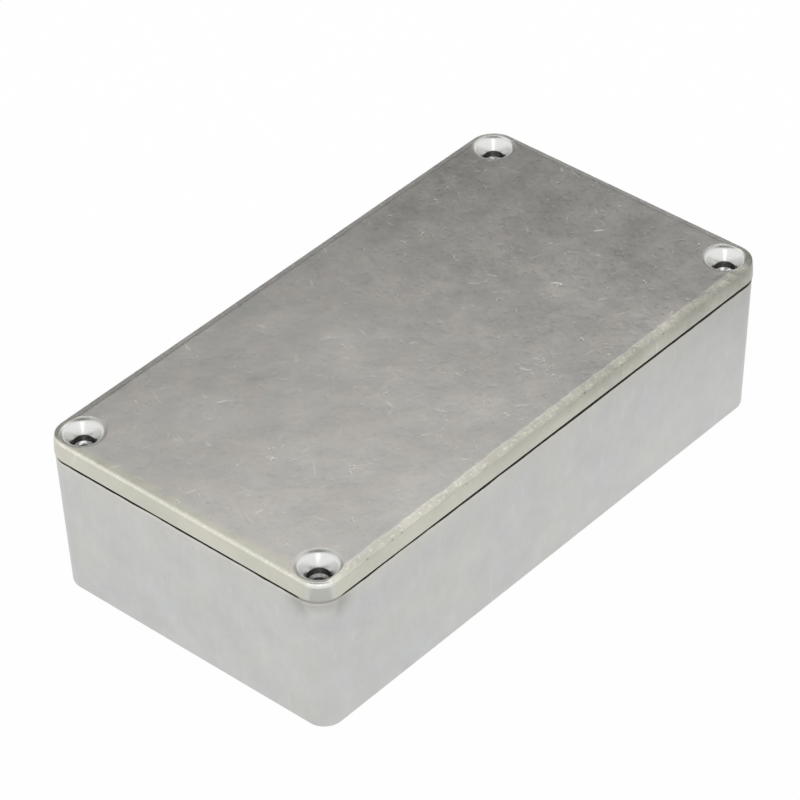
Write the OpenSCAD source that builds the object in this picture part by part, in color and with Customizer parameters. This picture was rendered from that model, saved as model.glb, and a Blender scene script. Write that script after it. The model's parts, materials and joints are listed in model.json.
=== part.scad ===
// Die-cast aluminium pedal enclosure: a drafted box body and a lap-jointed lid.
// Millimetres. The origin is the middle of the underside, +X runs along the length and +Z up.

/* [Box] */
// Overall length, taken on the lid
box_length = 112; // [90:1:150]
// Overall width, taken on the lid
box_width = 60.5; // [48:0.5:100]
// Overall height, lid included
box_height = 31; // [24:0.5:60]
// Radius of the four upright corners, taken on the lid
corner_radius = 4.75; // [3:0.25:7]

/* [Body casting] */
// Thickness of the walls at the rim
wall = 2.1; // [1.5:0.1:3.5]
// Thickness of the floor
floor_thickness = 2.1; // [1.5:0.1:4]
// Lean of each outer wall, from the rim to the foot
wall_taper = 1; // [0.4:0.1:1.8]
// Lean of each inner wall, from the rim to the floor
core_taper = 1.2; // [0.4:0.1:2.4]
// Radius of the outside edge around the foot
foot_edge_radius = 0.6; // [0.3:0.1:1.5]
// Radius of the inside corner between the floor and the walls
floor_fillet = 1.5; // [0.5:0.1:3]
// Radius of the outside edge of the rim
rim_edge_radius = 0.3; // [0.1:0.05:0.8]
// Distance that the rim stands back behind the edge of the lid
rim_setback = 0.15; // [0.05:0.05:0.3]

/* [Screw posts] */
// Distance of each screw axis from the edges of the lid
screw_inset = 4.8; // [4.55:0.25:6.55]
// Radius of the rounded inner corner of a post
post_radius = 4; // [3:0.1:5]
// Diameter of the hole that is tapped in each post
tap_hole_d = 2.9; // [2.4:0.1:3.4]
// Depth of the tapped hole below the top of its post
tap_hole_depth = 14; // [8:0.5:20]
// Height of the lead-in chamfer at the mouth of the tapped hole
tap_chamfer = 0.4; // [0.2:0.05:0.6]
// Distance that the round seats for the lid stop short of the outer corners
seat_setback = 0.1; // [0.05:0.05:0.5]

/* [Lid casting] */
// Thickness of the plate inside the edge
lid_thickness = 2; // [1.6:0.1:4]
// Depth of the recess under the plate, which the thicker edge of the lid surrounds
lid_recess = 1.4; // [0.8:0.1:4]
// Lean of the lid's edge, from the seam to the rounded top
lid_taper = 0.15; // [0:0.05:0.4]
// Radius of the top edge
lid_edge_radius = 0.6; // [0.3:0.1:1.2]
// Width of the dressed border that slopes from the top edge up to the flat of the lid
border_length = 1.2; // [0.6:0.1:2]
// Gap of the seam between the seats, where the rim is clear of the lid
seam_gap = 0.6; // [0.1:0.05:0.8]
// Reach of the locating tongue below the seam
tongue_height = 1.2; // [0.8:0.1:3]
// Thickness of the locating tongue
tongue_width = 1.5; // [1:0.1:2.5]
// Play between the tongue and the inside of the body
tongue_clearance = 0.3; // [0.2:0.05:0.5]

/* [Lid screw holes] */
// Diameter of the clearance hole
screw_hole_d = 3.7; // [3:0.1:4.2]
// Diameter of the countersink at the top face
countersink_d = 7.4; // [6:0.1:8]
// Full angle of the countersink
countersink_angle = 82; // [60:1:100]

/* [Hidden] */
$fn = 96;

// Cuts run this far past the faces that they open
cut_margin = 1;

lid_height = lid_thickness + lid_recess;
seam_height = box_height - lid_height;
rim_height = seam_height - seam_gap;
body_length = box_length - 2 * rim_setback;
body_width = box_width - 2 * rim_setback;
body_corner = corner_radius - rim_setback;
cavity_length = body_length - 2 * wall;
cavity_width = body_width - 2 * wall;
tap_hole_r = tap_hole_d / 2;
screw_hole_r = screw_hole_d / 2;
countersink_r = countersink_d / 2;
countersink_depth = (countersink_r - screw_hole_r) / tan(countersink_angle / 2);

// Slope of the dressed border, as the short sides of a right triangle with a long side of 1
slope_rise = 0.28;
slope_run = 0.96;

// The corners in turn, so that corner number n lies in quadrant n
corner_signs = [[1, 1], [-1, 1], [-1, -1], [1, -1]];

// A quarter of a disc, from the +X axis round to the +Y axis
module quarter_disc(radius) {
    intersection() {
        circle(radius);
        square(radius);
    }
}

// Puts its children at each screw axis, turned so that +X and +Y run out to the two walls
module at_posts() {
    for (n = [0:3]) {
        x = corner_signs[n].x * (box_length / 2 - screw_inset);
        y = corner_signs[n].y * (box_width / 2 - screw_inset);
        translate([x, y]) rotate(90 * n) children();
    }
}

// The cross-section of a cast block: its edge profile at both ends and the plain middle between
module block_section(half_flat, bottom, top) {
    for (side = [0, 1]) mirror([side, 0]) translate([half_flat, 0]) children();
    translate([-half_flat, bottom]) square([2 * half_flat, top - bottom]);
}

// A block with rounded corners. The child is its edge profile, drawn outwards from the upright
// axis of a corner. It is run along the four sides and turned round the four corners.
module cast_block(length, width, corner, bottom, top) {
    flat_x = length / 2 - corner;
    flat_y = width / 2 - corner;
    rotate([90, 0, 0])
        linear_extrude(2 * flat_y, center = true)
            block_section(flat_x, bottom, top) children();
    rotate([90, 0, 90])
        linear_extrude(2 * flat_x, center = true)
            block_section(flat_y, bottom, top) children();
    for (n = [0:3])
        translate([corner_signs[n].x * flat_x, corner_signs[n].y * flat_y])
            rotate(90 * n) rotate_extrude(angle = 90) children();
}

// Edge profile of the body's outside: a leaning wall with a rounded foot and a rounded rim
module body_profile() {
    foot = body_corner - wall_taper;
    foot_flat = foot - foot_edge_radius;
    rim_flat = body_corner - rim_edge_radius;
    rim_side = rim_height - rim_edge_radius;
    polygon([
        [0, 0],
        [foot_flat, 0],
        [foot_flat, foot_edge_radius],
        [foot, foot_edge_radius],
        [body_corner, rim_side],
        [rim_flat, rim_side],
        [rim_flat, rim_height],
        [0, rim_height]
    ]);
    translate([foot_flat, foot_edge_radius]) mirror([0, 1]) quarter_disc(foot_edge_radius);
    translate([rim_flat, rim_side]) quarter_disc(rim_edge_radius);
}

// Edge profile of the lid: a slightly leaning side, a rounded edge and a shallow dressed border
module lid_profile() {
    edge = corner_radius - lid_taper;
    border_rise = border_length * slope_rise;
    border_run = border_length * slope_run;
    round_x = edge - lid_edge_radius;
    round_y = lid_height - border_rise - lid_edge_radius * slope_run;
    border_x = round_x + lid_edge_radius * slope_rise;
    border_y = lid_height - border_rise;
    polygon([
        [0, 0],
        [corner_radius, 0],
        [edge, round_y],
        [round_x, round_y],
        [border_x, border_y],
        [border_x - border_run, lid_height],
        [0, lid_height]
    ]);
    translate([round_x, round_y])
        intersection() {
            circle(lid_edge_radius);
            polygon([
                [0, 0],
                [corner_radius, 0],
                [corner_radius, corner_radius],
                corner_radius * [slope_rise, slope_run]
            ]);
        }
}

// Plan of the posts: square to the walls, with a rounded inner corner, grown by a margin
module post_plan(grow = 0) {
    inner = post_radius + grow;
    at_posts() {
        circle(inner);
        translate([-inner, 0]) square([inner + screw_inset, screw_inset]);
        translate([0, -inner]) square([screw_inset, inner + screw_inset]);
    }
}

// Plan of the hollow at the rim, between the posts, drawn in from its walls by a margin
module hollow_plan(margin) {
    difference() {
        square([cavity_length - 2 * margin, cavity_width - 2 * margin], center = true);
        post_plan(margin);
    }
}

// Cross-section of the hollow: two leaning walls with a fillet down to the floor
module hollow_section(width) {
    rim = width / 2;
    foot = rim - core_taper;
    foot_flat = foot - floor_fillet;
    fillet_top = floor_thickness + floor_fillet;
    cut_top = seam_height + cut_margin;
    for (side = [0, 1]) mirror([side, 0]) {
        polygon([
            [0, floor_thickness],
            [foot_flat, floor_thickness],
            [foot_flat, fillet_top],
            [foot, fillet_top],
            [rim, rim_height],
            [rim, cut_top],
            [0, cut_top]
        ]);
        translate([foot_flat, fillet_top]) mirror([0, 1]) quarter_disc(floor_fillet);
    }
}

// The space inside the body: the section along the box and the one across it, meeting in the
// corners, where the posts are left standing
module body_hollow() {
    difference() {
        intersection() {
            rotate([90, 0, 0])
                linear_extrude(box_width, center = true) hollow_section(cavity_length);
            rotate([90, 0, 90])
                linear_extrude(box_length, center = true) hollow_section(cavity_width);
        }
        linear_extrude(box_height) post_plan();
    }
}

// A blind hole for the tap, with a lead-in chamfer at the top of the post
module tapped_hole() {
    translate([0, 0, seam_height - tap_hole_depth])
        cylinder(tap_hole_depth + cut_margin, r = tap_hole_r);
    translate([0, 0, seam_height - tap_chamfer])
        cylinder(tap_chamfer, tap_hole_r, tap_hole_r + tap_chamfer);
}

// The round seats that rise out of the rim at the corners and carry the lid clear of it. Each starts
// where the rounding of the rim starts, so that it is one with the wall at any radius of that edge.
module lid_seats() {
    seat_x = body_length / 2 - body_corner;
    seat_y = body_width / 2 - body_corner;
    for (signs = corner_signs)
        translate([signs.x * seat_x, signs.y * seat_y, rim_height - rim_edge_radius])
            cylinder(rim_edge_radius + seam_gap, r = body_corner - seat_setback);
}

// A screw hole through the lid, countersunk from the top face
module countersunk_hole() {
    cone_bottom = box_height - countersink_depth;
    cone_slope = tan(countersink_angle / 2);
    translate([0, 0, seam_height - cut_margin])
        cylinder(lid_height + cut_margin, r = screw_hole_r);
    translate([0, 0, cone_bottom])
        cylinder(countersink_depth + cut_margin, screw_hole_r, countersink_r + cut_margin * cone_slope);
}

// The ring under the lid that drops inside the rim and keeps the lid in line
module tongue() {
    translate([0, 0, seam_height - tongue_height])
        linear_extrude(tongue_height + lid_recess)
            difference() {
                hollow_plan(tongue_clearance);
                hollow_plan(tongue_clearance + tongue_width);
            }
}

// The recess under the plate of the lid, inside the tongue
module lid_hollow() {
    translate([0, 0, seam_height])
        linear_extrude(lid_recess) hollow_plan(tongue_clearance + tongue_width);
}

module enclosure_body() {
    color("silver")
        difference() {
            union() {
                cast_block(body_length, body_width, body_corner, 0, rim_height) body_profile();
                lid_seats();
            }
            body_hollow();
            at_posts() tapped_hole();
        }
}

module lid() {
    color("darkgray")
        difference() {
            union() {
                translate([0, 0, seam_height])
                    cast_block(box_length, box_width, corner_radius, 0, lid_height) lid_profile();
                tongue();
            }
            lid_hollow();
            at_posts() countersunk_hole();
        }
}

enclosure_body();
lid();
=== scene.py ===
# %% [markdown]
# # A die-cast aluminium enclosure
#
# The object is a small closed box for an effects circuit: a cast body with leaning walls, and a
# cast lid that drops onto it and is drilled for four flat-head screws. The CAD model gives every
# size. This lesson makes both castings again in mesh code, with the softened edges, thread and
# uneven rounding that a real casting has, and then gives them bare metal finishes.

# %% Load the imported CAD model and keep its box
import json
from math import atan2, copysign, cos, degrees, pi, radians, sin, tan

import bmesh
import bpy
from mathutils import Matrix, Vector, noise


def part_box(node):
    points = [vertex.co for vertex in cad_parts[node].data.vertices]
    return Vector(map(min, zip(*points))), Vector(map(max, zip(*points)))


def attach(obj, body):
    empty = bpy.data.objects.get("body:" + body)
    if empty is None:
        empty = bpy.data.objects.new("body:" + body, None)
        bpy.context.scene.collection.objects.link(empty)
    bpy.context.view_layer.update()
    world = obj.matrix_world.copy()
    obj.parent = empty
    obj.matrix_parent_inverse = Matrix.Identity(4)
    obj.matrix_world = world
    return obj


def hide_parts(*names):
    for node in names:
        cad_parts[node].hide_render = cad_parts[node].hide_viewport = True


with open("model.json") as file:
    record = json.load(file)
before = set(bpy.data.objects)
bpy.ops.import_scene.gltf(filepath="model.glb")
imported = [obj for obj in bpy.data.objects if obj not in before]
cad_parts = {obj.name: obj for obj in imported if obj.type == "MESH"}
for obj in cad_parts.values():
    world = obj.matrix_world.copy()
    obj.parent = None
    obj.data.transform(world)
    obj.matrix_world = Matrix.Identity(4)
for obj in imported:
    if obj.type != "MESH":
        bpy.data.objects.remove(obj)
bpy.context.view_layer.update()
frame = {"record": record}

# %% [markdown]
# ## Sizes
#
# The boxes of the two CAD nodes and the record's screw holes give the main sizes. What they don't
# give, such as the thickness of a wall, is written here by name. Everything is modelled in
# millimetres and made metres at the end, because Blender's merge and boolean tools work best on
# shapes that are some tens of units across.

# %% Read the main sizes from the CAD nodes, in millimetres
MM = 0.001

lid_low, lid_high = (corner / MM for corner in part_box("lid"))
body_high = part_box("enclosure_body")[1] / MM
mounts = {mount["name"]: mount for mount in frame["record"]["mounts"]}
lid_holes = mounts["lid_screw_holes"]
tapped_holes = mounts["post_tapped_holes"]

lid_half = Vector((lid_high.x, lid_high.y))
body_half = Vector((body_high.x, body_high.y))
top = lid_high.z
seam = lid_holes["pos_m"][2] / MM
screw_x = lid_holes["dims"]["spacing_x_mm"] / 2
screw_y = lid_holes["dims"]["spacing_y_mm"] / 2
screw_hole_r = lid_holes["dims"]["hole_r_mm"]
tap_r = tapped_holes["dims"]["hole_r_mm"]
print(f"lid {2 * lid_half.x:.1f} x {2 * lid_half.y:.1f} mm, seam at {seam:.2f} mm, top at {top:.2f} mm")

# %% Name the sizes that the boxes don't give
corner_r = 4.75
lid_taper = 0.15
lid_edge_r = 0.6
border_length = 1.2
border_lean = (0.28, 0.96)
lid_recess = 1.4
seam_gap = 0.6
tongue_depth = seam - lid_low.z
tongue_width = 1.5
tongue_clearance = 0.3

rim = seam - seam_gap
wall = 2.1
floor_depth = 2.1
wall_taper = 1.0
core_taper = 1.2
foot_edge_r = 0.6
rim_edge_r = 0.3
floor_fillet = 1.5
post_r = 4.0
seat_setback = 0.1
body_corner_r = corner_r - (lid_half.x - body_half.x)
seat_axis = body_half - Vector((body_corner_r, body_corner_r))
hollow_half = body_half - Vector((wall, wall))

countersink_r = 3.7
countersink_angle = radians(82)
countersink_depth = (countersink_r - screw_hole_r) / tan(countersink_angle / 2)
print(f"countersink {countersink_depth:.2f} mm deep, rim of the body at {rim:.2f} mm")

# %% [markdown]
# ## The camera
#
# The photograph is taken from above one corner with a long lens. The camera's place was fitted to
# the edges of the box, so the angles, the distance and the small roll below are measurements. The
# lens follows from the fitted focal length in pixels of an 800-pixel frame.

# %% Place the camera
FRAME_PIXELS = 800
SENSOR_MM = 36
focal_pixels = 4132.994
azimuth, elevation, roll = radians(-47.994), radians(38.679), radians(-1.509)
aim = Vector((0, 0, 15))
offset = Vector((2.218, -3.029, -689.397))

back = Vector((sin(azimuth) * cos(elevation), -cos(azimuth) * cos(elevation), sin(elevation)))
level = Vector((0, 0, 1)).cross(back).normalized()
upward = back.cross(level)
right = cos(roll) * level + sin(roll) * upward
up = cos(roll) * upward - sin(roll) * level
axes = Matrix((right, up, back)).transposed()

camera = bpy.data.objects.new("camera", bpy.data.cameras.new("camera"))
camera.data.sensor_width = SENSOR_MM
camera.data.lens = focal_pixels * SENSOR_MM / FRAME_PIXELS
camera.data.clip_start = 0.01
camera.matrix_world = Matrix.Translation((aim - axes @ offset) * MM) @ axes.to_4x4()
bpy.context.scene.collection.objects.link(camera)
bpy.context.scene.camera = camera
print("camera at", [round(c, 3) for c in camera.matrix_world.translation])
print("lens", round(camera.data.lens, 1), "mm")

# %% [markdown]
# ## Node maths in Python
#
# A metal finish is mostly arithmetic: how far a point is from the lid's edge, how strong a scratch
# is, how much of one colour shows over another. Wiring Math nodes by hand hides that arithmetic.
# The class below wraps one socket, so that `1 - mask * 0.5` adds the nodes by itself, and its
# method `add` makes every other kind of node.

# %% Wrap a socket so that expressions add nodes
class Wire:
    """One output socket of a node tree. Python's operators on it add Math nodes."""

    def __init__(self, socket):
        self.socket = socket
        self.tree = socket.id_data

    def add(self, kind, settings=None, output=0, **inputs):
        """Adds a node of this kind: first its settings, then values or links for its sockets."""
        node = self.tree.nodes.new(kind)
        for name, value in (settings or {}).items():
            setattr(node, name, value)
        for name, value in inputs.items():
            number = int(name[1:]) if name[0] == "i" and name[1:].isdigit() else None
            socket = node.inputs[name.replace("_", " ") if number is None else number]
            if isinstance(value, Wire):
                self.tree.links.new(value.socket, socket)
            else:
                socket.default_value = value
        return Wire(node.outputs[output])

    def math(self, operation, *values):
        """Adds a Math node on these numbers."""
        inputs = {f"i{n}": value for n, value in enumerate(values)}
        return self.add("ShaderNodeMath", {"operation": operation}, **inputs)

    def vector(self, operation, *values, output=0):
        """Adds a Vector Math node. Output 0 is its vector, and output 1 is its number."""
        inputs = {f"i{n}": value for n, value in enumerate(values)}
        return self.add("ShaderNodeVectorMath", {"operation": operation}, output, **inputs)

    def __add__(self, other):
        return self.math("ADD", self, other)

    def __radd__(self, other):
        return self.math("ADD", other, self)

    def __sub__(self, other):
        return self.math("SUBTRACT", self, other)

    def __rsub__(self, other):
        return self.math("SUBTRACT", other, self)

    def __mul__(self, other):
        return self.math("MULTIPLY", self, other)

    def __rmul__(self, other):
        return self.math("MULTIPLY", other, self)

    def __abs__(self):
        return self.math("ABSOLUTE", self)


def ramp(value, low, high):
    """0 at low, 1 at high and a smooth step between."""
    return value.add("ShaderNodeMapRange", {"interpolation_type": "SMOOTHSTEP"},
                     Value=value, From_Min=low, From_Max=high)


def blend(share, first, second):
    """A colour between two colours."""
    return share.add("ShaderNodeMix", {"data_type": "RGBA"}, 2, i0=share, i6=first, i7=second)


# %% [markdown]
# ## The floor and the light
#
# Bare aluminium looks like whatever stands round it, so the light is the first half of the finish.
# The box stands on a white sweep inside a white tent, as small shiny goods are photographed. The
# floor shows its own white to the camera and to mirror-like rays, mixed with a share of real shading,
# so that it keeps a trace of the box's shadow. The long wall mirrors the floor in front of it on the
# right, and there the floor's glow is painted grey for mirror-like rays only, as a painted shade that
# shows in the wall. The tent is open behind the box, from a little above the floor, and at the very
# top, and there it is dark: that gives the flat lid, which mirrors the back, its calm grey. A strip
# lamp hangs close behind the box. It is so near that it lights the left of the lid more than the
# right. A small lamp by the camera puts a glint into each countersink, whose far wall faces it, and
# on the rounded near corner.

# %% Lay the white floor
FLOOR_REACH = 6.0
FLOOR_DROP = 0.00005
FLOOR_SHINE = 0.97
GREY_SIDE = (0.755, -0.656, 0)
GREY_START, GREY_END = 0.065, 0.18
GREY_FLOOR = (0.25, 0.25, 0.25, 1)
PAPER = (0.85, 0.85, 0.85, 1)
WHITE = (1, 1, 1, 1)

floor_mesh = bmesh.new()
bmesh.ops.create_circle(floor_mesh, cap_ends=True, segments=64, radius=FLOOR_REACH)
bmesh.ops.translate(floor_mesh, verts=floor_mesh.verts, vec=(0, 0, -FLOOR_DROP))
floor = bpy.data.objects.new("floor", bpy.data.meshes.new("floor"))
floor_mesh.to_mesh(floor.data)
floor_mesh.free()
bpy.context.scene.collection.objects.link(floor)

white_sweep = bpy.data.materials.new("white_sweep")
white_sweep.use_nodes = True
white_sweep.node_tree.nodes.clear()
sweep_end = white_sweep.node_tree.nodes.new("ShaderNodeOutputMaterial")
rays = white_sweep.node_tree.nodes.new("ShaderNodeLightPath")
camera_ray, glossy_ray, clear_ray = (
    Wire(rays.outputs[f"Is {kind} Ray"]) for kind in ("Camera", "Glossy", "Transmission"))
seen = camera_ray.math("MINIMUM", camera_ray + glossy_ray + clear_ray, 1)
paper = seen.add("ShaderNodeBsdfDiffuse", Color=PAPER)
spot = Wire(white_sweep.node_tree.nodes.new("ShaderNodeTexCoord").outputs["Object"])
to_grey_side = spot.vector("DOT_PRODUCT", spot, GREY_SIDE, output=1)
# Painted shade: for mirror-like rays the floor's glow turns grey on the side of the long wall.
grey = glossy_ray * ramp(to_grey_side, GREY_START, GREY_END)
glow = seen.add("ShaderNodeEmission", Color=blend(grey, WHITE, GREY_FLOOR), Strength=1)
shown = seen.add("ShaderNodeMixShader", i0=seen * FLOOR_SHINE, i1=paper, i2=glow)
white_sweep.node_tree.links.new(shown.socket, sweep_end.inputs["Surface"])
floor.data.materials.append(white_sweep)
print("floor of", FLOOR_REACH, "m radius")

# %% Stand the tent round the box
TENT = 1.09
BACK_MIDDLE = (44, 28)
BACK_DARKEST, BACK_EDGE = 30, 36
BACK_FOOT, BACK_FULL = 0.06, 0.28
ZENITH_SHARE = 0.92
ZENITH_EDGE, ZENITH_DARKEST = 0.88, 0.95


def pointing(turn, rise):
    """The unit vector of an azimuth and an elevation in degrees."""
    level_part = cos(radians(rise))
    return Vector((cos(radians(turn)) * level_part, sin(radians(turn)) * level_part, sin(radians(rise))))


world = bpy.data.worlds.new("tent")
world.use_nodes = True
background = world.node_tree.nodes["Background"]
direction = Wire(world.node_tree.nodes.new("ShaderNodeTexCoord").outputs["Generated"])
camera_ray = Wire(world.node_tree.nodes.new("ShaderNodeLightPath").outputs["Is Camera Ray"])
height = direction.add("ShaderNodeSeparateXYZ", output=2, Vector=direction)
to_back = direction.vector("DOT_PRODUCT", direction, pointing(*BACK_MIDDLE), output=1)
opening = ramp(to_back, cos(radians(BACK_EDGE)), cos(radians(BACK_DARKEST)))
cloth = TENT * (1 - opening * ramp(height, BACK_FOOT, BACK_FULL))
cloth = cloth * (1 - ZENITH_SHARE * ramp(height, ZENITH_EDGE, ZENITH_DARKEST))
shown = cloth + camera_ray * (1 - cloth)
world.node_tree.links.new(shown.socket, background.inputs["Strength"])
background.inputs["Color"].default_value = WHITE
bpy.context.scene.world = world
bpy.context.scene.view_settings.view_transform = "Standard"
print("tent of strength", TENT, "with a dark opening at", BACK_MIDDLE, "degrees")

# %% Hang the lamps
def hang_lamp(name, place, distance, size, watts):
    """A rectangular lamp at an azimuth and an elevation, turned to the box, unseen by the camera."""
    lamp = bpy.data.objects.new(name, bpy.data.lights.new(name, "AREA"))
    lamp.data.shape = "RECTANGLE"
    lamp.data.size, lamp.data.size_y = size
    lamp.data.energy = watts
    away = pointing(*place)
    lamp.location = aim * MM + away * distance
    lamp.rotation_euler = away.to_track_quat("Z", "Y").to_euler()
    lamp.visible_camera = False
    bpy.context.scene.collection.objects.link(lamp)
    print(name, "at", [round(c, 3) for c in lamp.location])


hang_lamp("strip_lamp", place=(42, 61), distance=0.33, size=(0.25, 0.10), watts=0.2)
hang_lamp("front_lamp", place=(-138, 37), distance=0.9, size=(0.12, 0.25), watts=0.25)

# %% [markdown]
# ## Tools for castings
#
# Both castings have the same kind of outside: one edge profile that runs along the four sides and
# turns round the four corners. It could be a subdivided cube, but then the corners would not be
# true arcs. Spinning the profile at each corner and pulling it along each side keeps the arcs and
# gives clean strips of faces. Holes and hollows are cut with booleans, as a mill would.

# %% Carry an edge profile round a rounded rectangle
# Points that lie closer than this become one
MERGE = 0.001


def arc_points(centre, radius, start, stop, steps):
    """Points of an arc in a profile, from one angle to another, ends included."""
    angles = [radians(start + (stop - start) * n / steps) for n in range(steps + 1)]
    return [(centre[0] + radius * cos(a), centre[1] + radius * sin(a)) for a in angles]


def new_ones(made, kind):
    """What is of one kind among the things that an operator made."""
    return [item for item in made if isinstance(item, kind)]


def run_round(profile, half, corner, corner_steps=16):
    """A closed block: the profile, drawn outwards from a corner's axis, spun and pulled round."""
    bm = bmesh.new()
    flat = half - Vector((corner, corner))
    line = [bm.verts.new((flat.x, -flat.y - out, z)) for out, z in profile]
    geom = line + [bm.edges.new(pair) for pair in zip(line, line[1:])]
    turns = [((flat.x, -flat.y, 0), (0, 2 * flat.y, 0)), ((flat.x, flat.y, 0), (-2 * flat.x, 0, 0)),
             ((-flat.x, flat.y, 0), (0, -2 * flat.y, 0)), ((-flat.x, -flat.y, 0), (2 * flat.x, 0, 0))]
    for axis_point, run in turns:
        spun = bmesh.ops.spin(bm, geom=geom, cent=axis_point, axis=(0, 0, 1), angle=pi / 2,
                              steps=corner_steps)["geom_last"]
        edges = new_ones(spun, bmesh.types.BMEdge)
        pulled = bmesh.ops.extrude_edge_only(bm, edges=edges)["geom"]
        ends = new_ones(pulled, bmesh.types.BMVert)
        bmesh.ops.translate(bm, verts=ends, vec=run)
        geom = ends + [e for e in new_ones(pulled, bmesh.types.BMEdge) if set(e.verts) <= set(ends)]
    bmesh.ops.remove_doubles(bm, verts=bm.verts, dist=MERGE)
    return bm


def close_block(bm):
    """Fills the open top and bottom and turns the faces outwards."""
    rims = [edge for edge in bm.edges if edge.is_boundary]
    bmesh.ops.holes_fill(bm, edges=rims, sides=0)
    bmesh.ops.recalc_face_normals(bm, faces=bm.faces)
    return bm


# %% Turn a bmesh into a piece, and cut one piece with another
# Cutters run this far past the faces that they open
CUT_PAST = 1
FINE_MERGE = MERGE / 2
SHARP_EDGE = radians(32)


def make_piece(name, bm, material):
    """A new object with this mesh and one material. Cutters are pieces too, until they are spent."""
    mesh = bpy.data.meshes.new(name)
    bm.to_mesh(mesh)
    bm.free()
    mesh.materials.append(material)
    piece = bpy.data.objects.new(name, mesh)
    bpy.context.scene.collection.objects.link(piece)
    return piece


def carve(piece, tool, operation="DIFFERENCE"):
    """Cuts, joins or trims a piece with a tool, keeps the tool's finish on the cut, drops the tool."""
    cut = piece.modifiers.new("cut", "BOOLEAN")
    cut.operation, cut.object, cut.solver = operation, tool, "EXACT"
    cut.material_mode = "TRANSFER"
    graph = bpy.context.evaluated_depsgraph_get()
    carved = bpy.data.meshes.new_from_object(piece.evaluated_get(graph))
    piece.modifiers.clear()
    blank = piece.data
    piece.data = carved
    bpy.data.meshes.remove(blank)
    spent = tool.data
    bpy.data.objects.remove(tool)
    bpy.data.meshes.remove(spent)


def finish_piece(piece, node):
    """Merges, scales to metres, shades smooth up to an angle, and stands for the CAD node."""
    bm = bmesh.new()
    bm.from_mesh(piece.data)
    bmesh.ops.remove_doubles(bm, verts=bm.verts, dist=FINE_MERGE)
    bmesh.ops.dissolve_degenerate(bm, edges=bm.edges, dist=FINE_MERGE)
    bmesh.ops.scale(bm, vec=(MM, MM, MM), verts=bm.verts)
    for face in bm.faces:
        face.smooth = True
    for edge in bm.edges:
        finishes = {face.material_index for face in edge.link_faces}
        edge.smooth = len(finishes) == 1 and edge.calc_face_angle(0) < SHARP_EDGE
    loose = sum(not edge.is_manifold for edge in bm.edges)
    bm.to_mesh(piece.data)
    bm.free()
    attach(piece, "root")
    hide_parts(node)
    print(f"{piece.name}: {len(piece.data.polygons)} faces, {loose} open edges")


# %% Draw the plan between the posts and make it a prism
def between_posts(half, margin, low, high, arc_steps=12):
    """A prism on the plan of the hollow: straight along the walls, rounded round the posts."""
    bm = bmesh.new()
    reach = post_r + margin
    start, end_wall, post_side = (bm.verts.new(place) for place in (
        (half.x, 0, low), (half.x, screw_y - reach, low), (screw_x, screw_y - reach, low)))
    bm.edges.new((start, end_wall))
    bm.edges.new((end_wall, post_side))
    spun = bmesh.ops.spin(bm, geom=[post_side], cent=(screw_x, screw_y, low), axis=(0, 0, -1),
                          angle=pi / 2, steps=arc_steps)["geom_last"]
    last = new_ones(spun, bmesh.types.BMVert)[0]
    side_wall = bm.verts.new((screw_x - reach, half.y, low))
    middle = bm.verts.new((0, half.y, low))
    bm.edges.new((last, side_wall))
    bm.edges.new((side_wall, middle))
    for axis in "XY":
        bmesh.ops.mirror(bm, geom=bm.verts[:] + bm.edges[:], axis=axis, merge_dist=MERGE)
    bmesh.ops.remove_doubles(bm, verts=bm.verts, dist=MERGE)
    return raise_face(bm, (0, 0, high - low))


def raise_face(bm, run):
    """Fills the outline that the bmesh holds and pulls the face into a prism."""
    bmesh.ops.contextual_create(bm, geom=bm.edges[:])
    pulled = bmesh.ops.extrude_face_region(bm, geom=bm.faces[:])["geom"]
    bmesh.ops.translate(bm, verts=new_ones(pulled, bmesh.types.BMVert), vec=run)
    bmesh.ops.recalc_face_normals(bm, faces=bm.faces)
    return bm


# %% Turn a profile into round tools at the four screw axes
def turned_tools(profile, steps=64):
    """Four solids of revolution, one at each screw axis, from a profile of (radius, height)."""
    bm = bmesh.new()
    line = [bm.verts.new((radius, 0, z)) for radius, z in profile]
    geom = line + [bm.edges.new(pair) for pair in zip(line, line[1:])]
    bmesh.ops.spin(bm, geom=geom, cent=(0, 0, 0), axis=(0, 0, 1), angle=2 * pi, steps=steps,
                   use_merge=True)
    bmesh.ops.remove_doubles(bm, verts=bm.verts, dist=FINE_MERGE)
    bmesh.ops.recalc_face_normals(bm, faces=bm.faces)
    bmesh.ops.translate(bm, verts=bm.verts, vec=(screw_x, screw_y, 0))
    for axis in "XY":
        bmesh.ops.mirror(bm, geom=bm.verts[:] + bm.edges[:] + bm.faces[:], axis=axis, merge_dist=0)
    bmesh.ops.recalc_face_normals(bm, faces=bm.faces)
    return bm


# %% [markdown]
# ## Patterns for bare cast metal
#
# The casting is tumbled, not polished: a grey, slightly warm metal with soft clouds in it, fine
# grain, short scratches and a few pits. They could be painted on an image, but then the box would
# have to be unwrapped. Each of these is a pattern in object space, so it covers the top, the sides and
# the edges alike. A Voronoi texture gives each scratch or pit a cell of its own. The cell's random
# colour turns the scratch, and a random number of the cell decides whether it shows.

# %% Start a finish, and shape numbers and colours
def start_finish(name):
    """A new metal, its shader and a wire with the object coordinates in millimetres."""
    material = bpy.data.materials.new(name)
    material.use_nodes = True
    shader = material.node_tree.nodes["Principled BSDF"]
    shader.inputs["Metallic"].default_value = 1
    place = Wire(material.node_tree.nodes.new("ShaderNodeTexCoord").outputs["Object"])
    return material, shader, scaled(place, [1 / MM] * 3)


def set_finish(material, shader, **wires):
    """Links the wires to the shader's sockets, with _ for each space in a socket's name."""
    for name, wire in wires.items():
        material.node_tree.links.new(wire.socket, shader.inputs[name.replace("_", " ")])
    print("finish:", material.name, len(material.node_tree.nodes), "nodes")


def scaled(place, factors):
    """A place, or an offset, stretched along each axis."""
    return place.vector("MULTIPLY", place, factors)


def toned(colour, tone):
    """A colour made lighter or darker by a factor."""
    return colour.vector("MULTIPLY", colour, tone)


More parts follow.
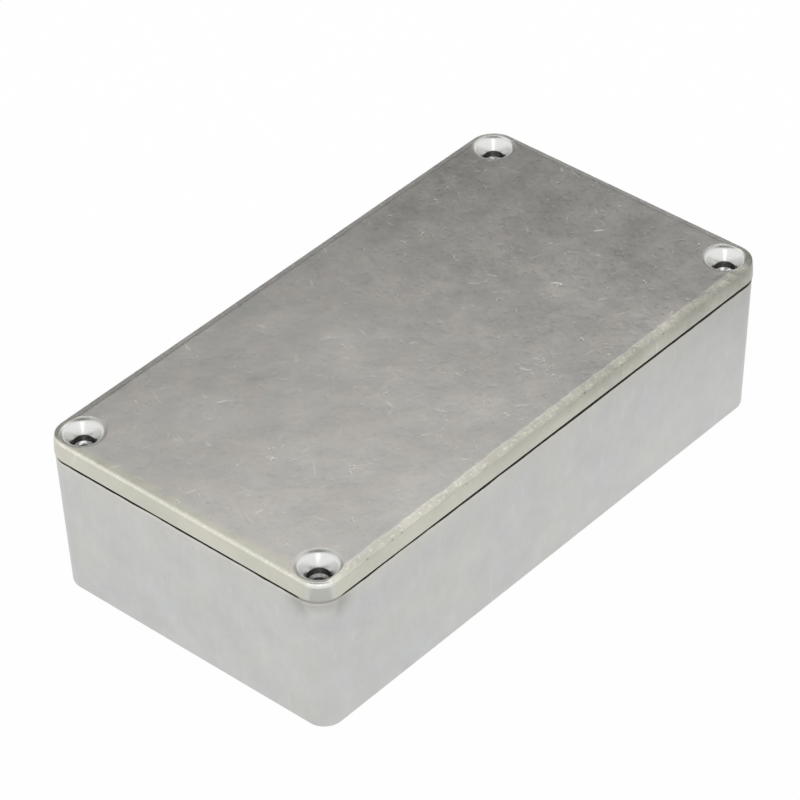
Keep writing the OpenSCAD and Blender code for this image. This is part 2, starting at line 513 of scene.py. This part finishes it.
def along(place, axis):
    """One coordinate of a place: 0 for X, 1 for Y, 2 for Z."""
    return place.add("ShaderNodeSeparateXYZ", output=axis, Vector=place)


def distance_to(place, middle, spread):
    """The distance from a middle, in units of a spread along each axis."""
    away = scaled(place.vector("SUBTRACT", place, middle), [1 / s for s in spread])
    return place.vector("LENGTH", away, output=1)


# %% Clouds, scratches and specks
def clouds(place, size, detail=3, roughness=0.55, stretch=(1, 1, 1), output=0):
    """Soft noise from 0 to 1 with features of about this size, stretched along the axes."""
    spread = scaled(place, [1 / (size * s) for s in stretch])
    return spread.add("ShaderNodeTexNoise", output=output, Vector=spread, Scale=1, Detail=detail,
                      Roughness=roughness)


def cells(place, size):
    """The offset from the middle of the nearest random cell, its random colour and one number."""
    spread = scaled(place, [1 / size] * 3)
    node = spread.add("ShaderNodeTexVoronoi", {"feature": "F1"}, Vector=spread, Scale=1).socket.node
    middle, chance = Wire(node.outputs["Position"]), Wire(node.outputs["Color"])
    away = scaled(spread.vector("SUBTRACT", spread, middle), [size] * 3)
    pick = spread.add("ShaderNodeTexWhiteNoise", {"noise_dimensions": "3D"}, Vector=middle)
    return away, chance, pick


# Length and depth of the bends in a scratch, as shares of its reach
BEND_LENGTH, BEND = 2.5, 0.8
# Slabs stand nearly upright, so that they cross the flat as lines
UPRIGHT = (1, 1, 0.2)


def scratches(place, cell, width, reach, keep, across=(0, 0, 0)):
    """Short bent scratches: in some cells, a thin upright slab, cut to a ball. A slab faces a random
    way, or more or less the way of the vector across."""
    sway = clouds(place, BEND_LENGTH * reach, detail=1, output=1)
    bent = place.vector("MULTIPLY_ADD", sway, [BEND * reach] * 3, place)
    away, chance, pick = cells(bent, cell)
    by_chance = place.vector("SUBTRACT", chance, (0.5, 0.5, 0.5))
    facing = place.vector("NORMALIZE", place.vector("MULTIPLY_ADD", by_chance, UPRIGHT, across))
    off_slab = abs(place.vector("DOT_PRODUCT", away, facing, output=1))
    off_middle = place.vector("LENGTH", away, output=1)
    line = ramp(off_slab, width, 0.2 * width) * ramp(off_middle, reach, 0.4 * reach)
    return line * ramp(pick, keep, 0)


def specks(place, cell, radius, keep):
    """Round spots in some of the cells."""
    away, _, pick = cells(place, cell)
    spot = ramp(place.vector("LENGTH", away, output=1), radius, 0.3 * radius)
    return spot * ramp(pick, keep, 0.3 * keep)


# %% [markdown]
# ## Finish of the lid
#
# The lid is tumbled bare metal, but it isn't the same all over. Its flat top is grey. The border and
# the sides, which a belt has dressed, are a little creamier on the two near sides, and the rounded
# near corner keeps the plainer grey of the cast skin. These zones could be materials of their own, or
# painted vertex colours. Here each is a mask that is worked out from a point's place, because the
# height of a point tells the flat, the border and the side apart, and because a mask can fade.

# %% Find the zones of the lid
def from_near_corner(place):
    """How far a place lies from the near corner: its distances from the two near sides, added up."""
    return along(place, 0) + along(place, 1) + (lid_half.x + lid_half.y)


lid_metal, lid_shader, place = start_finish("tumbled_lid")
below_flat = top - along(place, 2)
from_short_side = along(place, 0) + lid_half.x
from_long_side = along(place, 1) + lid_half.y
corner_way = from_near_corner(place)

dressed = ramp(below_flat, 0.005, 0.06)
on_border = dressed * ramp(below_flat, 0.36, 0.30)
near_sides = place.math("MAXIMUM", ramp(from_short_side, 8, 4), ramp(from_long_side, 8, 4))
corner_side = ramp(from_short_side, 4.5, 2.5) * ramp(from_long_side, 4.5, 2.5) * dressed
far_end = ramp(from_short_side, 5, 85)
rougher = ramp(along(place, 0), -15, 40)
print("zones of the lid:", len(lid_metal.node_tree.nodes), "nodes so far")

# %% [markdown]
# ### Clouds and marks
#
# The flat has faint warm and cool clouds, an even mottle at every scale and many short scratches,
# which are crowded in some places. Most of them lie across the light, because those are the ones that
# shine, and a few longer ones run any way. The metal is also finely pecked. On the border, grit has
# left bright specks, and there are pits along its outer edge. A picture of scratches would repeat and
# blur, while patterns of noise stay sharp at any distance.

# %% Scatter clouds and marks over the lid
ACROSS_LIGHT = (0.30, 0.27, 0)

patches = clouds(place, 5, detail=4, roughness=0.65)
mottle = clouds(place, 5, detail=5, roughness=0.95)
smears = clouds(place, 16, detail=3, roughness=0.6)
dents = clouds(place, 5, detail=4, roughness=0.5)
crowded = ramp(clouds(place, 8, detail=2), 0.38, 0.62)
nicks = scratches(place, cell=1.6, width=0.28, reach=0.6, keep=0.7, across=ACROSS_LIGHT)
scrapes = scratches(place, cell=4, width=0.3, reach=1.3, keep=0.7, across=ACROSS_LIGHT)
drags = scratches(place, cell=7, width=0.22, reach=2.4, keep=0.7)
scuffs = scratches(place, cell=1.6, width=0.3, reach=0.6, keep=0.7)
pecks = ramp(clouds(place, 0.9, detail=2), 0.5, 0.75)
edge_pits = specks(place, cell=1.1, radius=0.4, keep=0.5) * ramp(abs(below_flat - 0.46), 0.14, 0.06)
grit = ramp(clouds(place, 0.5, detail=1), 0.52, 0.66) * on_border
print("zones and marks of the lid:", len(lid_metal.node_tree.nodes), "nodes so far")

# %% [markdown]
# ### Rubbed, dull and dirty places
#
# Handling has rubbed the flat paler in a patch near the middle. Along the short near side the flat is
# creamier and, as a painted sheen, paler. The edge there and the ridge of the near corner carry
# painted highlights, and the side of the lid at that corner a painted dark reflection. The long near
# side and its border are painted darker, most at the far end, as painted shade. The underside that
# sits in the seam is painted dark, dirt and painted shade together, except at the near corner, where
# the seat closes the seam.

# %% Find the rubbed places, the painted highlights and the painted shade
def seam_dirt_and_shade(place, depth):
    """How dark a place is painted, for dirt and shade: fully in the seam, less round the near corner,
    where the seat closes it.
    """
    at_corner = ramp(along(place, 0), 0.8 - seat_axis.x, -0.2 - seat_axis.x)
    at_corner = at_corner * ramp(along(place, 1), 0.8 - seat_axis.y, -0.2 - seat_axis.y)
    return depth * (1 - 0.7 * at_corner)


rubbed = ramp(distance_to(place, (-5, 7, top), (13, 8, 8)) + (patches - 0.5) * 1.5, 1, 0.3)
# Creamier along the short near side, and paler there as a painted sheen.
rubbed_side_and_sheen = ramp(from_short_side, 3.0, 1.2) * (1 - dressed)
off_flat = ramp(below_flat, 0, 0.03)
# Painted highlights on the short near edge and round the ridge of the near corner.
near_corner = ramp(from_short_side, 7, 3) * ramp(from_long_side, 3, 1.5)
edge_highlight = place.math("MAXIMUM", ramp(from_short_side, 1.0, 0.6), near_corner * 1.3)
edge_highlight = edge_highlight * ramp(below_flat, 0.55, 0.35) * off_flat
corner_highlight = ramp(corner_way, 4.4, 3.2) * ramp(below_flat, 0.95, 0.6) * off_flat
# A painted dark reflection on the side of the lid at the near corner.
corner_dark_reflection = ramp(corner_way, 3.5, 3.05) * ramp(below_flat, 0.7, 1.0)
# Painted shade on the long near side and its border, deepest towards the far end.
side_falloff_shade = far_end * ramp(from_long_side, 1.4, 0.5) * ramp(below_flat, 0.2, 0.5)
border_falloff_shade = dressed * ramp(below_flat, 0.5, 0.3) * ramp(from_long_side, 2.8, 2.3)
# Dirt and painted shade in the seam, on the lid's underside.
in_seam = seam_dirt_and_shade(place, ramp(below_flat, top - seam - 0.06, top - seam - 0.01))
print("zones, marks and wear of the lid:", len(lid_metal.node_tree.nodes), "nodes so far")

# %% [markdown]
# ### Tone and colour
#
# All light and dark marks, painted highlights and painted shade among them, are added up to one tone,
# a factor on the colour, so that none of them hides another. The colours of the zones are blended
# first, then the tone is laid over them, and the dirt and painted shade of the seam come last. Dents,
# grit and hollows also make the surface itself a little uneven.

# %% Mix the lid's metal
FLAT_COOL = (0.569, 0.565, 0.538, 1)
FLAT_WARM = (0.602, 0.572, 0.535, 1)
DRESSED = (0.602, 0.591, 0.516, 1)
PLAIN_CORNER = (0.585, 0.585, 0.565, 1)
SEAM_DIRT_AND_SHADE = (0.05, 0.05, 0.045, 1)
BUMP_DEPTH = 0.1 * MM

tone = 1 + (mottle - 0.5) * (0.13 + 0.40 * rougher) + (smears - 0.5) * (0.34 + 0.36 * rougher)
tone = tone + (patches - 0.5) * rougher * 0.12
# Painted sheen and painted highlights near the short side and the near corner, then a painted dark
# reflection and painted shade.
tone = tone + rubbed * 0.1 + rubbed_side_and_sheen * 0.06 + edge_highlight * 0.18
tone = tone + corner_highlight * 0.27 - corner_dark_reflection * 0.2
# Painted shade along the long near side and its border.
tone = tone - side_falloff_shade * (0.13 + 0.1 * ramp(below_flat, 2.6, 0.6))
tone = tone - border_falloff_shade * (0.13 + 0.09 * far_end)
marks = (nicks * 0.34 + scrapes * 0.24 - scuffs * 0.22) * (0.4 + 1.1 * crowded)
marks = marks + drags * 0.2 - pecks * 0.08
tone = tone + marks * (0.85 + 0.7 * rougher) * (1 - 0.6 * dressed) + grit * 0.2 - edge_pits * 0.3

warmth = 0.5 + (ramp(patches, 0.36, 0.64) - 0.5) * (1 - 0.45 * rougher)
skin = blend(warmth, FLAT_COOL, FLAT_WARM)
skin = blend(place.math("MAXIMUM", dressed * near_sides, rubbed_side_and_sheen), skin, DRESSED)
skin = toned(blend(corner_side * 0.8, skin, PLAIN_CORNER), tone)
skin = blend(in_seam, skin, SEAM_DIRT_AND_SHADE)

rough = 0.44 - dressed * 0.04 + (mottle - 0.5) * 0.1 + in_seam * 0.2
hollows = (pecks * 0.12 + scuffs * 0.12 + nicks * 0.05) * (0.35 + 0.65 * rougher)
uneven = dents * 0.7 + grit * 0.05 - hollows
relief = place.add("ShaderNodeBump", Strength=1, Distance=BUMP_DEPTH, Height=uneven)
set_finish(lid_metal, lid_shader, Base_Color=skin, Roughness=rough, Normal=relief)

# %% [markdown]
# ## Finish of the holes
#
# The countersinks are cut with a tool, so they are brighter and smoother than the cast skin. Their
# worn mouths fade into the grey of the lid, by the distance from the nearest screw axis. The straight
# holes under them are painted dark, as painted shade, and deep in them the threads of the posts carry
# painted glints. One metal could do for both, but a dark hole below a bright cone is what makes the
# hole look deep.

# %% Mix the metal of the countersinks and of the threads
CUT = (0.72, 0.72, 0.705, 1)
# A painted shade colour for the holes, and a painted glint colour for the threads.
HOLE_SHADE = (0.28, 0.28, 0.27, 1)
PAINTED_GLINT = (0.85, 0.85, 0.84, 1)

cut_metal, cut_shader, place = start_finish("countersink_cut")
chatter = clouds(place, 1.1, detail=2)
from_axis = place.vector("SUBTRACT", place.vector("ABSOLUTE", place), (screw_x, screw_y, 0))
from_axis = place.vector("LENGTH", scaled(from_axis, (1, 1, 0)), output=1)
worn = blend(ramp(from_axis, 2.9, countersink_r), CUT, FLAT_COOL)
rough = 0.23 + ramp(chatter, 0.3, 0.7) * 0.06 + ramp(from_axis, 3.2, countersink_r) * 0.2
set_finish(cut_metal, cut_shader, Base_Color=worn, Roughness=rough)

thread_metal, thread_shader, place = start_finish("tapped_thread")
thread_noise = clouds(place, 0.8, detail=2)
# Painted glints on the posts' threads; elsewhere the holes are painted dark, as painted shade.
painted_glints = ramp(thread_noise, 0.5, 0.62) * ramp(along(place, 2), seam + 0.05, seam - 0.05)
skin = blend(painted_glints, HOLE_SHADE, PAINTED_GLINT)
set_finish(thread_metal, thread_shader, Base_Color=skin, Roughness=0.22 + thread_noise * 0.15)

# %% [markdown]
# ## Finish of the body
#
# The walls keep the skin that the die gave them: neutral grey, softly mottled, with faint upright
# streaks where the casting slid out of the die. Towards the rim they turn a little warmer. The edge
# of the rim carries a painted highlight, and the rim under the lid is painted as dark as the rest of
# the seam, dirt and painted shade together. That dark creeps out over the edge a little unevenly,
# further towards the far end. Below the seam the near corner carries painted shade, deepest where the
# corner runs into the two walls. The walls could share the lid's metal, but they are neither dressed
# nor much handled, so they have one of their own.

# %% Mix the body's metal
WALL_COOL = (0.551, 0.560, 0.552, 1)
WALL_WARM = (0.565, 0.562, 0.544, 1)
WALL_RIM = (0.578, 0.571, 0.537, 1)

body_metal, body_shader, place = start_finish("cast_body")
patches = clouds(place, 9, detail=3)
mottle = clouds(place, 6, detail=4, roughness=0.75)
streaks = clouds(place, 1.4, detail=2, stretch=(1, 1, 5))
dents = clouds(place, 4, detail=4, roughness=0.5)
scuffs = scratches(place, cell=4, width=0.22, reach=1.0, keep=0.3)
below_rim = rim - along(place, 2)
tone = 1 + (mottle - 0.5) * 0.28 + ramp(streaks, 0.55, 0.8) * 0.05 - scuffs * 0.04
# A painted highlight along the rounded edge of the rim.
tone = tone + ramp(below_rim, 0.7, 0.3) * 0.08
corner_way = from_near_corner(place)
# Painted shade below the lid's edge at the near corner, deepest where the corner meets the walls.
corner_shade = ramp(corner_way, 3.2, 4.6) * ramp(below_rim, 5.2, 0.3)
corner_shade = place.math("MAXIMUM", corner_shade, ramp(below_rim, 2.8, 0.2) * 0.75) * ramp(corner_way, 9, 4.6)
tone = tone - corner_shade * 0.28
# The dark of the seam, dirt and painted shade together, creeps unevenly over the rim's edge.
dirt_and_shade_reach = (dents - 0.5) * 0.2 + ramp(along(place, 0), -45, 0) * 0.07
in_seam = seam_dirt_and_shade(place, ramp(below_rim - dirt_and_shade_reach, 0.11, 0.02))
skin = blend(ramp(patches, 0.35, 0.65), WALL_COOL, WALL_WARM)
skin = toned(blend(ramp(below_rim, 4, 0.3), skin, WALL_RIM), tone)
skin = blend(in_seam, skin, SEAM_DIRT_AND_SHADE)
rough = 0.43 + (mottle - 0.5) * 0.1 + in_seam * 0.2
relief = place.add("ShaderNodeBump", Strength=0.3, Distance=BUMP_DEPTH, Height=dents)
set_finish(body_metal, body_shader, Base_Color=skin, Roughness=rough, Normal=relief)

# %% [markdown]
# ## The lid
#
# The lid is a slab with a slightly bulging side and a rounded edge. A bevel would round the edge too,
# but an edge profile also holds the bulge. The profile is run round the outline, and the long strips
# that this leaves are cut into short ones, so that the border has points enough for the next step.

# %% Sweep the lid's outside
LID_STEP = 0.4
LONG_STRIP = 20
FLAT_MARGIN = 0.9
UNDER_EDGE_R = 0.12
BULGE_STEPS = 5

side_edge = corner_r - lid_taper
round_centre = (side_edge - lid_edge_r, top - lid_edge_r)
border_edge = round_centre[0] + lid_edge_r * border_lean[0]
flat_edge = border_edge - border_length * border_lean[1]
flat_start = flat_edge - FLAT_MARGIN


def straight(first, last, steps):
    """Points of a straight stretch of a profile, without its first one."""
    shares = [(n + 1) / steps for n in range(steps)]
    return [tuple(a + (b - a) * share for a, b in zip(first, last)) for share in shares]


lid_profile = [(flat_start, seam)]
side_low, side_high = seam + UNDER_EDGE_R, round_centre[1]
lid_profile += arc_points((corner_r - UNDER_EDGE_R, side_low), UNDER_EDGE_R, -90, 0, steps=4)
for n in range(1, BULGE_STEPS):
    share = n / BULGE_STEPS
    lid_profile.append((corner_r - lid_taper * share ** 2, side_low + (side_high - side_low) * share))
lid_profile += arc_points(round_centre, lid_edge_r, 0, 90, steps=14)
lid_profile += straight(lid_profile[-1], (flat_start, top), steps=14)
bm = run_round(lid_profile, lid_half, corner_r)
for axis, half in (("x", lid_half.x), ("y", lid_half.y)):
    strips = [e for e in bm.edges if abs(getattr(e.verts[0].co - e.verts[1].co, axis)) > LONG_STRIP]
    cuts = int(2 * (half - corner_r) / LID_STEP)
    bmesh.ops.subdivide_edges(bm, edges=strips, cuts=cuts, use_grid_fill=True)
print("lid outside:", len(bm.faces), "faces")

# %% [markdown]
# ### The dressed border
#
# On the real lid a belt has dressed a narrow sloping border by hand, so its inner line wanders. On the
# short near side and at the near corner the belt has hardly touched it. The border could be a bevel,
# but a bevel is even. So each point near the edge is set to the lower of two heights, its own and that
# of an uneven slope, and the line where the two meet comes out uneven by itself.

# %% Dress the border unevenly
WANDER = 0.06
SLOW_WANDER, QUICK_WANDER = 0.13, 0.5
NICKS = 0.008
NICK_SCALE, NICK_FADE = 1.4, 0.1
MELT = 0.07
LONG_SIDE, SHORT_SIDE, FAR_SIDES = 0.04, 0.36, 0.05


def unevenness(place, outward):
    """How much higher than the plain slope the border lies at a place of the lid. The share of the
    short side reaches round the near corner, where the belt was lifted early."""
    out = outward.normalized()
    short = max(-out.x, 0) if out.y > 0 else min(max(-2 * out.x, 0), 1)
    far = max(out.x, 0) ** 2 + max(out.y, 0) ** 2
    long_share = 1 - short ** 2 - far
    flat_place = Vector((place.x, place.y, 0))
    wander = WANDER * (noise.noise(flat_place * SLOW_WANDER) + noise.noise(flat_place * QUICK_WANDER))
    raised = wander * (0.3 + 0.7 * long_share) + LONG_SIDE * long_share
    return raised + SHORT_SIDE * short ** 2 + FAR_SIDES * far


def lower_of(first, second):
    """The smaller number, with the corner between the two melted round."""
    near = max(MELT - abs(first - second), 0)
    return min(first, second) - near * near / (4 * MELT)


lid_core = lid_half - Vector((corner_r, corner_r))
for vert in bm.verts:
    if vert.co.z <= round_centre[1] + MERGE:
        continue
    outward = Vector([copysign(max(abs(c) - core, 0), c) for c, core in zip(vert.co.xy, lid_core)])
    fall = (outward.length - flat_edge) * border_lean[0] / border_lean[1]
    dressed_z = lower_of(top - fall + unevenness(vert.co, outward), vert.co.z)
    nick = NICKS * noise.noise(vert.co * NICK_SCALE)
    vert.co.z = dressed_z + nick * min((vert.co.z - dressed_z) / NICK_FADE, 1)
lid = make_piece("lid_casting", close_block(bm), lid_metal)
print(f"border {flat_edge:.2f} to {border_edge:.2f} mm from the corner axis, dressed by hand")

# %% [markdown]
# ### The underside of the lid
#
# A tongue under the lid drops inside the body's rim and keeps the lid in line. It follows the walls
# and the posts with a little play. Inside it the plate is cast thinner. Both are prisms on the plan of
# the body's hollow, drawn in by a margin, so that they fit it by themselves.

# %% Add the tongue and cut the recess
TONGUE_ROOT = 0.5

tongue_half = hollow_half - Vector((tongue_clearance, tongue_clearance))
inner_half = tongue_half - Vector((tongue_width, tongue_width))
inner_margin = tongue_clearance + tongue_width
tongue_low = seam - tongue_depth
tongue = between_posts(tongue_half, tongue_clearance, tongue_low, seam + TONGUE_ROOT)
recess = between_posts(inner_half, inner_margin, tongue_low - CUT_PAST, seam + lid_recess)
carve(lid, make_piece("tongue", tongue, lid_metal), "UNION")
carve(lid, make_piece("recess", recess, lid_metal))
print("tongue reaches down to", round(tongue_low, 2), "mm")

# %% [markdown]
# ## The countersinks
#
# Each screw hole is a straight hole with a cone above it. Tumbling has worn the mouth of the cone
# wide and round, and that soft lip is what catches the light. So the cutter's profile is a slightly
# steeper cone that ends in a large arc, which leaves the cone and runs out on the flat. Turning one
# profile about the four screw axes gives all the cutters at once.

# %% Drill and countersink the lid
LIP_R = 1.5
LIP_OVERCUT = 0.004
LIP_END = 88
WORN_IN = 0.3
LEDGE = 0.06

cone_bottom = top - countersink_depth
worn_r = countersink_r - WORN_IN
cone_tilt = atan2(worn_r - screw_hole_r, countersink_depth)
lip_run = LIP_R * tan((pi / 2 - cone_tilt) / 2)
lip_centre = (worn_r + lip_run, top - LIP_R + LIP_OVERCUT)
drill_low, drill_high = tongue_low - CUT_PAST, top + CUT_PAST
drill_profile = [(0, drill_low), (screw_hole_r, drill_low), (screw_hole_r, cone_bottom - LEDGE)]
drill_profile += [(screw_hole_r + LEDGE, cone_bottom + LEDGE)]
drill_profile += arc_points(lip_centre, LIP_R, 180 - degrees(cone_tilt), LIP_END, steps=14)
drill_profile += [(lip_centre[0] + CUT_PAST, drill_high), (0, drill_high)]
drills = make_piece("drills", turned_tools(drill_profile), cut_metal)
drills.data.materials.append(thread_metal)
for face in drills.data.polygons:
    face.material_index = int(face.center.z < cone_bottom - LEDGE)
carve(lid, drills)
finish_piece(lid, "lid")

# %% [markdown]
# ## The body
#
# The body is a box with walls that lean in towards the foot, so that it would leave the die. Its
# rim has a small rounded edge, which catches the light under the seam. At each corner a round seat
# rises out of the rim and carries the lid, and that leaves the seam open between the seats. A bevelled
# box would have one radius on all its edges. A swept profile, as on the lid, gives the foot and the
# rim their own. The seats are short rounds that are joined to it.

# %% Sweep the body's outside and raise the seats from its rim
BODY_FLAT = 3.0
SEAT_ROOT = 1

foot = body_corner_r - wall_taper
body_profile = [(foot - BODY_FLAT, 0)]
body_profile += arc_points((foot - foot_edge_r, foot_edge_r), foot_edge_r, -90, 0, steps=6)
body_profile += arc_points((body_corner_r - rim_edge_r, rim - rim_edge_r), rim_edge_r, 0, 90, steps=5)
body_profile += [(foot - BODY_FLAT, rim)]
bm = close_block(run_round(body_profile, body_half, body_corner_r))
body = make_piece("body_casting", bm, body_metal)

bm = bmesh.new()
seat_r = body_corner_r - seat_setback
seat_height = seam_gap + SEAT_ROOT
bmesh.ops.create_cone(bm, cap_ends=True, segments=64, radius1=seat_r, radius2=seat_r, depth=seat_height)
bmesh.ops.translate(bm, verts=bm.verts, vec=(seat_axis.x, seat_axis.y, seam - seat_height / 2))
for axis in "XY":
    bmesh.ops.mirror(bm, geom=bm.verts[:] + bm.edges[:] + bm.faces[:], axis=axis, merge_dist=0)
bmesh.ops.recalc_face_normals(bm, faces=bm.faces)
carve(body, make_piece("seats", bm, body_metal), "UNION")
print("seats of", round(seat_r, 2), "mm radius stand", seam_gap, "mm above the rim")

# %% [markdown]
# ### The inside of the body
#
# Inside, the walls lean too, a fillet leads down to the floor, and a post stands in each corner. A
# core in the die leaves this space. It is made as that core would be: one section run along the box,
# another run across it, and what both share, with the posts left standing.

# %% Hollow the body out between the posts
def hollow_run(half_width, half_run, axis_turn):
    """A prism of the hollow's cross-section: leaning walls with a fillet down to the floor."""
    bm = bmesh.new()
    foot_out = half_width - core_taper
    middle = (foot_out - floor_fillet, floor_depth + floor_fillet)
    fillet = arc_points(middle, floor_fillet, -90, 0, steps=8)
    outline = [(0, floor_depth)] + fillet + [(half_width, rim), (half_width, top), (0, top)]
    line = [bm.verts.new((out, -half_run, z)) for out, z in outline]
    for pair in zip(line, line[1:]):
        bm.edges.new(pair)
    bmesh.ops.mirror(bm, geom=bm.verts[:] + bm.edges[:], axis="X", merge_dist=MERGE)
    bmesh.ops.remove_doubles(bm, verts=bm.verts, dist=MERGE)
    raise_face(bm, (0, 2 * half_run, 0))
    bmesh.ops.rotate(bm, verts=bm.verts, cent=(0, 0, 0), matrix=Matrix.Rotation(axis_turn, 3, "Z"))
    return bm


hollow = make_piece("hollow", hollow_run(hollow_half.x, lid_half.y, 0), body_metal)
hollow_across = hollow_run(hollow_half.y, lid_half.x, pi / 2)
hollow_plan = between_posts(hollow_half, 0, 0, top + CUT_PAST)
carve(hollow, make_piece("hollow_across", hollow_across, body_metal), "INTERSECT")
carve(hollow, make_piece("hollow_plan", hollow_plan, body_metal), "INTERSECT")
carve(body, hollow)
print("hollow of", round(2 * hollow_half.x, 1), "x", round(2 * hollow_half.y, 1), "mm at the rim")

# %% [markdown]
# ### The tapped holes
#
# Each post has a blind hole with a thread and a lead-in chamfer. A true thread is a helix. At this
# fine pitch a row of ring grooves looks the same down the hole, and rings can be turned in one go with
# the rest of the hole.

# %% Tap the posts
TAP_DEPTH = 14
DRILL_POINT = 0.8
THREAD_PITCH = 0.6
THREAD_DEPTH = 0.3
CREST = 0.05
CHAMFER = 0.4

tap_low, tap_high = seam - TAP_DEPTH, seam + CUT_PAST
thread = [(0, tap_low - DRILL_POINT), (tap_r, tap_low)]
for n in range(int((TAP_DEPTH - CHAMFER) / THREAD_PITCH)):
    z = tap_low + n * THREAD_PITCH
    thread.append((tap_r, z + CREST))
    thread.append((tap_r + THREAD_DEPTH, z + THREAD_PITCH / 2))
    thread.append((tap_r, z + THREAD_PITCH - CREST))
thread += [(tap_r, seam - CHAMFER), (tap_r + CHAMFER, seam), (tap_r + CHAMFER, tap_high), (0, tap_high)]
carve(body, make_piece("taps", turned_tools(thread, steps=48), thread_metal))
finish_piece(body, "enclosure_body")
